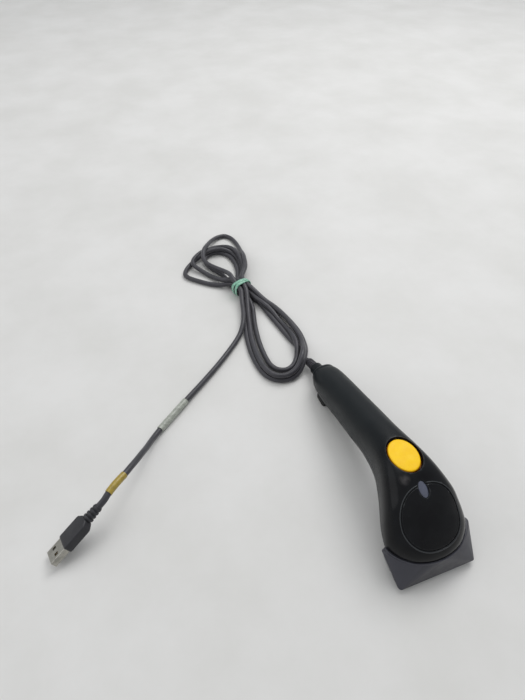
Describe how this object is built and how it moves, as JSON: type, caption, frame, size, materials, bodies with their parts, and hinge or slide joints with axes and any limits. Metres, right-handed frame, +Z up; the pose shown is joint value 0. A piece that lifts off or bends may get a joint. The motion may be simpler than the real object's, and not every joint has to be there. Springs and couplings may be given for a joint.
{
  "type": "handheld barcode scanner",
  "caption": "Arched handheld barcode scanner with an oval thumb button, a scan window behind a front bumper, a tied cord and a USB plug.",
  "frame": {"origin": "middle of the footprint of the scanner, cord left out, on the surface that it lies on", "axes": "+Y from the scanning head to the handle end, +X across the head, +Z up"},
  "size_m": [0.2507, 0.394, 0.0538],
  "materials": {
    "case_plastic": "satin, fine moulded texture",
    "bumper_plastic": "satin",
    "window": "gloss, dark red filter",
    "gasket": "matte foam rubber",
    "button": "satin gloss yellow",
    "inner_plastic": "matte",
    "light_pipe": "clear, smoky",
    "led": "gloss",
    "circuit_board": "gloss solder mask",
    "chip_epoxy": "matte",
    "brass_barrel": "turned",
    "steel": "bright",
    "mirror_glass": "polished",
    "magnet": "plated",
    "copper_coil": "wound enamelled wire",
    "filter": "gloss",
    "clear_plastic": "clear gloss",
    "foot_rubber": "matte",
    "cord_jacket": "satin jacket",
    "tie_band": "satin green band",
    "sleeve_film": "matte film",
    "label_film": "matte film",
    "plug_plastic": "satin",
    "plug_shell": "nickel plated",
    "plug_tongue": "satin white",
    "gold_contact": "plated"
  },
  "bodies": {
    "case": {"upper_case": "case_plastic", "lower_case": "case_plastic", "bumper": "bumper_plastic", "scan_window": "window", "window_gasket": "gasket", "button_carrier": "inner_plastic", "switch_body": "inner_plastic", "led_lens": "light_pipe", "indicator_led": "led", "trigger_board": "circuit_board", "beeper": "inner_plastic", "optical_chassis": "inner_plastic", "laser_module": "brass_barrel", "mirror_pin": "steel", "drive_coil": "copper_coil", "fold_mirror": "mirror_glass", "collecting_mirror": "mirror_glass", "light_sensor": "filter", "main_board": "circuit_board", "board_chips": "chip_epoxy", "cable_jack": "inner_plastic", "modular_plug": "clear_plastic", "case_screws": "steel", "rear_foot": "foot_rubber", "cord_boot": "cord_jacket", "cord_lead": "cord_jacket", "cord_hank": "cord_jacket", "cord_tie": "tie_band", "cord_free_run": "cord_jacket", "cord_sleeve": "sleeve_film", "cord_label": "label_film", "usb_boot": "plug_plastic", "usb_grip": "plug_plastic", "usb_shell": "plug_shell", "usb_tongue": "plug_tongue", "usb_contacts": "gold_contact"},
    "button": {"trigger_button": "button"},
    "switch_stem": {"switch_plunger": "inner_plastic"},
    "mirror": {"scan_mirror": "mirror_glass", "mirror_magnet": "magnet"}
  },
  "joints": [
    {"name": "button_press", "type": "slide", "parent": "case", "child": "button", "axis": [0, 0, -1], "range_m": [0, 0.001], "stiffness_N_per_m": 1200, "springref_m": -0.0008},
    {"name": "switch_press", "type": "slide", "parent": "case", "child": "switch_stem", "axis": [0, 0, -1], "range_m": [0, 0.001]},
    {"name": "mirror_swing", "type": "hinge", "parent": "case", "child": "mirror", "pos_m": [0, -0.06, 0.0263], "axis": [0, 0, 1], "range_deg": [-12, 12], "stiffness_Nm_per_rad": 0.002}
  ],
  "couplings": [
    {"joint": "switch_press", "follows": "button_press", "ratio": 1}
  ]
}
